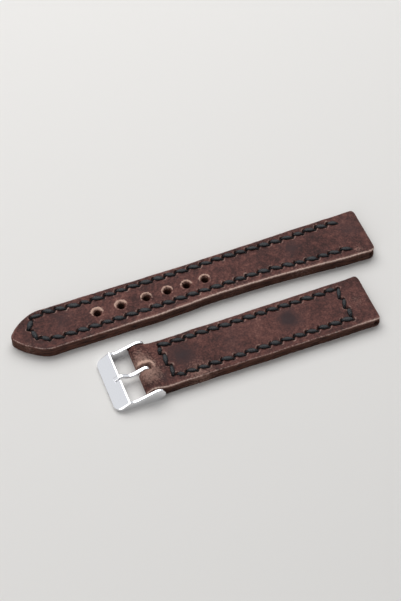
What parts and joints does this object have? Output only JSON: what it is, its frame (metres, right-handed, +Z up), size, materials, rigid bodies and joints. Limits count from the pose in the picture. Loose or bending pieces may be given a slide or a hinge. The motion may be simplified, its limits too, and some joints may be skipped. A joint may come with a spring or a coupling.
{
  "type": "leather watch strap",
  "caption": "Hand-sewn leather watch strap laid flat: a long half with punched holes and a short half with a tang buckle on a spring bar.",
  "frame": {"origin": "middle of the whole object's box, on the surface that both halves lie on", "axes": "+X along the strap towards the ends that take the watch, +Y from the short buckle half to the long holed half, +Z up out of the leather's face"},
  "size_m": [0.1194, 0.0434, 0.0048],
  "materials": {
    "outer_leather": "waxed pull-up leather, worn lighter along the edges",
    "lining_leather": "plain smooth lining leather",
    "waxed_thread": "thick waxed thread",
    "polished_steel": "polished",
    "bar_steel": "drawn and turned"
  },
  "bodies": {
    "short_strap": {"short_outer_leather": "outer_leather", "short_lining_leather": "lining_leather", "short_saddle_thread": "waxed_thread"},
    "long_strap": {"long_outer_leather": "outer_leather", "long_lining_leather": "lining_leather", "long_saddle_thread": "waxed_thread"},
    "buckle": {"buckle_frame": "polished_steel"},
    "tongue": {"buckle_tongue": "polished_steel"},
    "spring_bar": {"spring_bar_tube": "bar_steel", "spring_bar_spring": "bar_steel"},
    "near_pin": {"spring_bar_near_pin": "bar_steel"},
    "far_pin": {"spring_bar_far_pin": "bar_steel"}
  },
  "joints": [
    {"name": "long_half_lift", "type": "slide", "parent": "short_strap", "child": "long_strap", "axis": [0, 0, 1], "range_m": [0, 0.03]},
    {"name": "buckle_swing", "type": "hinge", "parent": "short_strap", "child": "buckle", "pos_m": [-0.02545, -0.01195, 0.0024], "axis": [0, 1, 0], "range_deg": [-60, 60]},
    {"name": "tongue_lift", "type": "hinge", "parent": "buckle", "child": "tongue", "pos_m": [-0.02545, -0.01195, 0.0024], "axis": [0, 1, 0], "range_deg": [0, 40]},
    {"name": "bar_roll", "type": "hinge", "parent": "buckle", "child": "spring_bar", "pos_m": [-0.02545, -0.01195, 0.0024], "axis": [0, 1, 0], "continuous": true},
    {"name": "near_pin_press", "type": "slide", "parent": "spring_bar", "child": "near_pin", "axis": [0, 1, 0], "range_m": [0, 0.0008], "stiffness_N_per_m": 1500, "springref_m": -0.001, "deforming": ["spring_bar_spring"]},
    {"name": "far_pin_press", "type": "slide", "parent": "spring_bar", "child": "far_pin", "axis": [0, -1, 0], "range_m": [0, 0.0008], "stiffness_N_per_m": 1500, "springref_m": -0.001, "deforming": ["spring_bar_spring"]}
  ]
}
